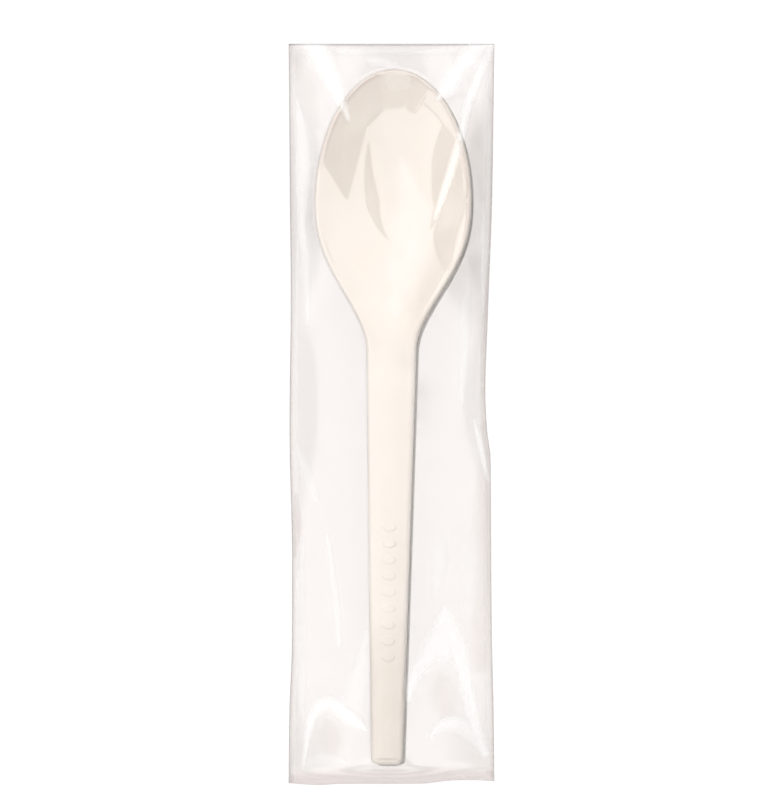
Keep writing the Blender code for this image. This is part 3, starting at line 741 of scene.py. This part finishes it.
def held_up(x, y):
    """The least height of the front sheet over the spoon and close beside it."""
    local_x, local_y = to_spoon_frame(x, y)
    along = np.clip(local_y, END_Y, TIP_Y)
    across = np.minimum(np.abs(local_x), half_width(along))
    on_ring = across > half_width(along) - rim_inset(along)
    top = np.where(on_ring, rim_height(along), spoon_top(across, along))
    top = top + (rim_height(along) + HANDLE_CROWN - top) * handle_share(along)
    outside = np.maximum(from_outline(local_x, local_y) - CLEARANCE, 0)
    return top + PAD_HEIGHT * handle_share(along) + CLEARANCE + FILM - FALL_OFF * outside


def relax(height, floor, step_x, step_y):
    """Draws the sheet tight between its borders and over the floor beneath it."""
    weight_x, weight_y = 1 / step_x**2, 1 / step_y**2
    share = OVER_RELAX / (2 * (weight_x + weight_y))
    row, column = np.indices(height.shape)
    colour = (row + column) % 2
    inner = np.zeros(height.shape, bool)
    inner[1:-1, 1:-1] = True
    for _ in range(RELAX_STEPS):
        for turn in (0, 1):
            pull = np.zeros(height.shape)
            pull[1:-1, 1:-1] = weight_x * (
                height[1:-1, 2:] + height[1:-1, :-2] - 2 * height[1:-1, 1:-1]
            ) + weight_y * (height[2:, 1:-1] + height[:-2, 1:-1] - 2 * height[1:-1, 1:-1])
            moved = np.maximum(height + share * pull, floor)
            height = np.where(inner & (colour == turn), moved, height)
    return height


def from_border(x, y):
    """How far a point of the film is from the film's nearest side or end."""
    from_side = np.minimum(x - x[:, :1], x[:, -1:] - x)
    return np.minimum(from_side, np.minimum(y[-1:, :] - y, y - y[:1, :]))


def rim_shade(x, y):
    """Painted shade on the film over the rim, as dark as the film that slopes down inside it: tip, left
    and right.
    """
    local_x, local_y = to_spoon_frame(x, y)
    inside = -from_outline(local_x, local_y)
    past = rim_inset(local_y) + RIM_SHADE_PAST - inside
    on_rim = ease(inside / RIM_SHADE_START) * ease(past / RIM_SHADE_FADE)
    left = rising(local_y / MM, *LEFT_SHADE_END)
    right = RIM_SHADE_RIGHT * rising(local_y / MM, *RIGHT_SHADE_END)
    return RIM_SHADE * on_rim * np.where(local_x < 0, left, right)


def front_sheet(x, y, back):
    """The front sheet's height, painted highlight and painted shade: drawn tight over the spoon, with
    its creases.
    """
    rest = back + CLEARANCE + FILM
    floor = np.maximum(rest, held_up(x, y))
    step_x, step_y = 2 * BAG_HALF_WIDTH / FILM_COLUMNS, 2 * BAG_HALF_LENGTH / FILM_ROWS
    height = relax(rest.copy(), floor, step_x, step_y)
    height = height + bowl_facets(x, y)
    # Painted shade starts from the film over the rim
    painted_highlight, shade = np.zeros(x.shape), rim_shade(x, y)
    # Painted highlight: a milk-white band along each crease, over its real ridge
    for painted_highlight_amount, rise, soft, crest in CREASES:
        cover, bump = stroke(x, y, crest, soft)
        height = height + rise * MM * bump
        painted_highlight = np.maximum(painted_highlight, painted_highlight_amount * cover)
    # Painted shade along the listed strokes
    for dark, soft, crest in SHADES:
        shade = np.maximum(shade, dark * stroke(x, y, crest, soft)[0])
    from_side = np.minimum(x - x[:, :1], x[:, -1:] - x)
    from_mouth = y - y[:1, :] - MOUTH_HEM
    held = ease(from_side / FLAT_HEM) * ease((y[-1:, :] - y) / FLAT_HEM)
    held = held * ease(from_mouth / MOUTH_FADE)
    height = rest + (height - rest) * held
    return np.maximum(height, floor), painted_highlight, shade * (1 - painted_highlight)


def film_mesh():
    """The film's middle surface: front and back sheets that share the side folds and the seal.

    Its looks are the painted highlight, the painted shade and the distance to the border in
    millimetres; beside tells how far the back sheet's points are outside the spoon's outline, and
    outside that outline once moved, for the painted shadow.
    """
    x, y = film_plan()
    back = back_sheet(x, y)
    front, painted_highlight, shade = front_sheet(x, y, back)
    rows, columns = FILM_ROWS, FILM_COLUMNS
    stride = columns + 1
    seam = (front + back) / 2
    for sheet in (front, back):
        sheet[:, 0], sheet[:, -1], sheet[-1, :] = seam[:, 0], seam[:, -1], seam[-1, :]
    border = from_border(x, y) / MM
    places = [(i, j) for i in range(rows + 1) for j in range(stride)]
    points = [(x[place], y[place], front[place]) for place in places]
    looks = [(painted_highlight[place], shade[place], border[place], 1) for place in places]
    # Where the painted shadow goes: outside the spoon's outline and inside that outline once moved
    local_x, local_y = to_spoon_frame(x, y)
    outside = from_outline(local_x, local_y) / MM
    moved = from_outline(local_x - PAINTED_SHADOW_SHIFT[0], local_y - PAINTED_SHADOW_SHIFT[1]) / MM
    beside = [FAR_AWAY] * len(points)
    under = {}
    kept = range(0, columns + 1, BACK_STEP)
    for i in range(rows + 1):
        for j in kept:
            if j in (0, columns) or i == rows:
                under[i, j] = i * stride + j
            else:
                under[i, j] = len(points)
                points.append((x[i, j], y[i, j], back[i, j]))
                looks.append((0, 0, border[i, j], 1))
                beside.append((outside[i, j], moved[i, j], 0, 1))
    faces = []
    for i in range(rows):
        for j in range(columns):
            upper = [(i, j), (i, j + 1), (i + 1, j + 1), (i + 1, j)]
            if j < columns / 2:
                upper = upper[1:] + upper[:1]
            for corners in (upper[:3], (upper[0], upper[2], upper[3])):
                faces.append([r * stride + c for r, c in corners])
        for j, n in zip(kept, kept[1:]):
            lower_face = [under[i, n], under[i, j], under[i + 1, j], under[i + 1, n]]
            if i == rows - 1:
                seal = [rows * stride + k for k in range(j + 1, n)]
                lower_face = lower_face[:3] + seal + lower_face[3:]
            if len(lower_face) > 4:
                faces.append(lower_face)
            else:
                faces.append(lower_face[:3])
                faces.append([lower_face[0], lower_face[2], lower_face[3]])
    return points, faces, looks, beside


class Nodes:
    """Short calls for building a material's or world's node tree."""

    def __init__(self, tree):
        self.tree = tree
        tree.nodes.clear()

    def add(self, kind, **inputs):
        node = self.tree.nodes.new(kind)
        for name, value in inputs.items():
            key = int(name[1:]) if name[0] == "i" and name[1:].isdigit() else name.replace("_", " ")
            self.put(node, key, value)
        return node

    def put(self, node, key, value):
        if isinstance(value, bpy.types.NodeSocket):
            self.tree.links.new(value, node.inputs[key])
        else:
            node.inputs[key].default_value = value

    def math(self, operation, a, b=0.0, c=0.0):
        node = self.add("ShaderNodeMath", i0=a, i1=b, i2=c)
        node.operation = operation
        return node.outputs[0]

    def mix_colour(self, share, a, b):
        node = self.tree.nodes.new("ShaderNodeMix")
        node.data_type = "RGBA"
        self.put(node, 0, share)
        self.put(node, 6, a)
        self.put(node, 7, b)
        return node.outputs[2]

    def noise(self, place, scale, detail=3.0, rough=0.5):
        node = self.add("ShaderNodeTexNoise", Vector=place, Scale=scale, Detail=detail, Roughness=rough)
        return node.outputs["Fac"]

    def smooth_range(self, value, low, high, to_low=0.0, to_high=1.0):
        node = self.add("ShaderNodeMapRange")
        node.interpolation_type = "SMOOTHSTEP"
        for key, setting in zip(range(5), (value, low, high, to_low, to_high)):
            self.put(node, key, setting)
        return node.outputs[0]


def new_material(name):
    made = bpy.data.materials.new(name)
    made.use_nodes = True
    return made, Nodes(made.node_tree)


def spoon_material():
    """Cream moulded bioplastic: faint mottling and flow lines, a satin skin and a fine texture."""
    made, n = new_material("cream_bioplastic")
    place = n.add("ShaderNodeTexCoord").outputs["Object"]
    long_grain = n.add("ShaderNodeMapping", Vector=place, Scale=FLOW_STRETCH).outputs[0]
    mottle = n.smooth_range(n.noise(place, scale=MOTTLE_SCALE), 0.35, 0.65)
    flow = n.smooth_range(n.noise(long_grain, scale=FLOW_SCALE), 0.3, 0.7)
    mottle_part = n.math("MULTIPLY", mottle, MOTTLE_SHARE)
    tone = n.math("ADD", mottle_part, n.math("MULTIPLY", flow, FLOW_SHARE))
    colour = n.mix_colour(tone, CREAM_DARK, CREAM_PALE)
    skin = n.noise(place, scale=SKIN_SCALE, detail=2.0)
    bump = n.add("ShaderNodeBump", Strength=SKIN_STRENGTH, Distance=SKIN_TEXTURE, Height=skin)
    roughness = n.smooth_range(mottle, 0.0, 1.0, *SPOON_ROUGHNESS)
    shader = n.add("ShaderNodeBsdfPrincipled", Base_Color=colour, Roughness=roughness)
    n.put(shader, "Normal", bump.outputs[0])
    n.put(shader, "IOR", SPOON_IOR)
    n.add("ShaderNodeOutputMaterial", Surface=shader.outputs[0])
    return made


def film_material():
    """Clear film: see-through, glossy, greyer where it is seen edge on, with a painted highlight along
    creases, painted shade where marked and along its border, and a painted shadow beside the spoon.

    The film has two skins. Its painted highlight is drawn once for both, on the one that a ray enters
    by.
    """
    made, n = new_material("clear_film")
    place = n.add("ShaderNodeTexCoord").outputs["Object"]
    painted = n.add("ShaderNodeAttribute")
    painted.attribute_name = "painted_highlight_and_shade"
    marks = n.add("ShaderNodeSeparateColor", Color=painted.outputs["Color"]).outputs
    facing = n.add("ShaderNodeLayerWeight", Blend=0.5).outputs["Facing"]
    places = n.add("ShaderNodeAttribute")
    places.attribute_name = "beside_spoon"
    beside = n.add("ShaderNodeSeparateColor", Color=places.outputs["Color"]).outputs
    gloss_share = n.math("MULTIPLY_ADD", n.math("POWER", facing, GLOSS_POWER), GLOSS[1], GLOSS[0])
    edge_on = n.math("POWER", facing, EDGE_ON_POWER)
    tint = n.mix_colour(edge_on, FILM_CLEAR, FILM_EDGE_ON)
    # Painted shade: the marked places, and a darker line along the film's border where it folds edge on
    border = n.smooth_range(marks["Blue"], *BORDER_LINE_EDGE, 0.0, BORDER_LINE_SHARE)
    tint = n.mix_colour(n.math("MAXIMUM", marks["Green"], border), tint, FILM_SHADE)
    # Painted shadow beside the spoon, on the back sheet
    line = n.smooth_range(beside["Green"], *PAINTED_SHADOW_EDGE)
    line = n.math("MULTIPLY", line, n.smooth_range(beside["Red"], *PAINTED_SHADOW_INNER_EDGE))
    tint = n.mix_colour(line, tint, FILM_PAINTED_SHADOW)
    cloud = n.noise(place, scale=CLOUD_SCALE, detail=4.0)
    roughness = n.smooth_range(cloud, 0.3, 0.7, *FILM_ROUGHNESS)
    border_rough = n.smooth_range(marks["Blue"], *BORDER_ROUGH_EDGE, BORDER_ROUGHNESS, 0.0)
    roughness = n.math("ADD", roughness, border_rough)
    clear = n.add("ShaderNodeBsdfTransparent", Color=tint)
    gloss = n.add("ShaderNodeBsdfAnisotropic", Color=WHITE, Roughness=roughness)
    # Painted highlight: a diffuse milk-white band along the creases, broken by faint streaks
    streaks = n.noise(place, scale=STREAK_SCALE, detail=2.0)
    streaks = n.smooth_range(streaks, 0.2, 0.8, 0.9, 1.0)
    entered = n.math("SUBTRACT", 1.0, n.add("ShaderNodeNewGeometry").outputs["Backfacing"])
    streaks = n.math("MULTIPLY", streaks, n.math("MULTIPLY", entered, PAINTED_HIGHLIGHT_MOST))
    painted_highlight_share = n.math("MULTIPLY", marks["Red"], streaks)
    painted_highlight = n.add("ShaderNodeBsdfDiffuse", Color=FILM_PAINTED_HIGHLIGHT)
    film = n.add("ShaderNodeMixShader", Fac=painted_highlight_share, i1=clear.outputs[0], i2=painted_highlight.outputs[0])
    whole = n.add("ShaderNodeMixShader", Fac=gloss_share, i1=film.outputs[0], i2=gloss.outputs[0])
    n.add("ShaderNodeOutputMaterial", Surface=whole.outputs[0])
    return made


def floor_material():
    """A near-white table top that keeps the object's soft shadow."""
    made, n = new_material("floor_white")
    rays = n.add("ShaderNodeLightPath")
    seen = n.math("MAXIMUM", rays.outputs["Is Camera Ray"], rays.outputs["Is Glossy Ray"])
    seen = n.math("MAXIMUM", seen, rays.outputs["Is Transmission Ray"])
    glow = n.add("ShaderNodeEmission", Color=WHITE, Strength=FLOOR_GLOW)
    shaded = n.add("ShaderNodeBsdfDiffuse", Color=FLOOR_SEEN)
    bright = n.add("ShaderNodeAddShader", i0=glow.outputs[0], i1=shaded.outputs[0])
    plain = n.add("ShaderNodeBsdfDiffuse", Color=FLOOR_UNSEEN)
    both = n.add("ShaderNodeMixShader", Fac=seen, i1=plain.outputs[0], i2=bright.outputs[0])
    n.add("ShaderNodeOutputMaterial", Surface=both.outputs[0])
    return made


def add_object(name, points, faces, finish):
    """A smooth-shaded mesh object with one material."""
    mesh = bpy.data.meshes.new(name)
    mesh.from_pydata([tuple(map(float, p)) for p in points], [], faces)
    mesh.update()
    mesh.shade_smooth()
    made = bpy.data.objects.new(name, mesh)
    bpy.context.scene.collection.objects.link(made)
    made.data.materials.append(finish)
    return made


def make_spoon():
    points, faces = spoon_mesh()
    spoon = add_object("spoon_moulding", from_spoon_frame(points), faces, spoon_material())
    spoon.data.set_sharp_from_angle(angle=SHARP_ANGLE)
    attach(spoon, "root")
    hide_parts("spoon")


def make_film():
    points, faces, looks, beside = film_mesh()
    film = add_object("film_bag", points, faces, film_material())
    for name, rows in (("painted_highlight_and_shade", looks), ("beside_spoon", beside)):
        values = film.data.attributes.new(name, "FLOAT_COLOR", "POINT")
        values.data.foreach_set("color", np.array(rows, float).ravel())
    thick = film.modifiers.new("film_thickness", "SOLIDIFY")
    thick.thickness = FILM
    thick.offset = 0
    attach(film, "root")
    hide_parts("film_wrapper")


def make_floor():
    mesh = bpy.data.meshes.new("floor")
    side = FLOOR_REACH
    corners = [(-side, -side, 0), (side, -side, 0), (side, side, 0), (-side, side, 0)]
    mesh.from_pydata(corners, [], [(0, 1, 2, 3)])
    floor = bpy.data.objects.new("floor", mesh)
    floor.location.z = -FLOOR_DROP
    bpy.context.scene.collection.objects.link(floor)
    floor.data.materials.append(floor_material())


def make_light():
    """A dim ceiling, a bright ring round it, a low wall, a lamp near the zenith, a dim lower right."""
    world = bpy.data.worlds.new("studio")
    world.use_nodes = True
    bpy.context.scene.world = world
    n = Nodes(world.node_tree)
    way = n.add("ShaderNodeTexCoord").outputs["Generated"]
    parts = n.add("ShaderNodeSeparateXYZ", Vector=way).outputs
    ceiling = n.smooth_range(parts["Z"], *CEILING_EDGE, CEILING, RING)
    wall = n.smooth_range(parts["Z"], *WALL_EDGE, 0.0, WALL_LIGHT)
    wall = n.math("MULTIPLY", wall, n.smooth_range(parts["Z"], *HORIZON))
    lit = n.math("MULTIPLY_ADD", parts["X"], LIT_FROM[0], n.math("MULTIPLY", parts["Y"], LIT_FROM[1]))
    side = n.smooth_range(lit, *UNLIT_EDGE, UNLIT_SIDE, 1.0)
    low = n.smooth_range(parts["Z"], *UNLIT_HEIGHT)
    dim = n.math("SUBTRACT", 1.0, n.math("MULTIPLY", low, n.math("SUBTRACT", 1.0, side)))
    across = n.math("MULTIPLY", n.math("ADD", parts["X"], -LAMP_AT[0]), 1 / LAMP_SIZE[0])
    along = n.math("MULTIPLY", n.math("ADD", parts["Y"], -LAMP_AT[1]), 1 / LAMP_SIZE[1])
    reach = n.math("SQRT", n.math("ADD", n.math("POWER", across, 2.0), n.math("POWER", along, 2.0)))
    lamp = n.smooth_range(reach, *LAMP_EDGE, 0.0, LAMP)
    lamp = n.math("MULTIPLY", lamp, n.smooth_range(parts["Z"], *LAMP_HEIGHT))
    strength = n.math("MULTIPLY_ADD", n.math("ADD", ceiling, wall), dim, lamp)
    back = n.add("ShaderNodeBackground", Color=WHITE, Strength=strength)
    n.add("ShaderNodeOutputWorld", Surface=back.outputs[0])


def make_camera():
    """Straight above, with a long lens, framed as the photograph is."""
    data = bpy.data.cameras.new("camera")
    data.sensor_fit = "VERTICAL"
    data.sensor_height = SENSOR
    data.lens = SENSOR * CAMERA_DISTANCE / PICTURE_HEIGHT
    data.clip_start = 0.01
    data.clip_end = 100
    camera = bpy.data.objects.new("camera", data)
    camera.location = (AIM[0], AIM[1], AIM[2] + CAMERA_DISTANCE)
    bpy.context.scene.collection.objects.link(camera)
    bpy.context.scene.camera = camera


def main():
    """The whole scene."""
    bpy.context.scene.view_settings.view_transform = "Standard"
    make_camera()
    make_light()
    make_floor()
    make_spoon()
    make_film()


main()
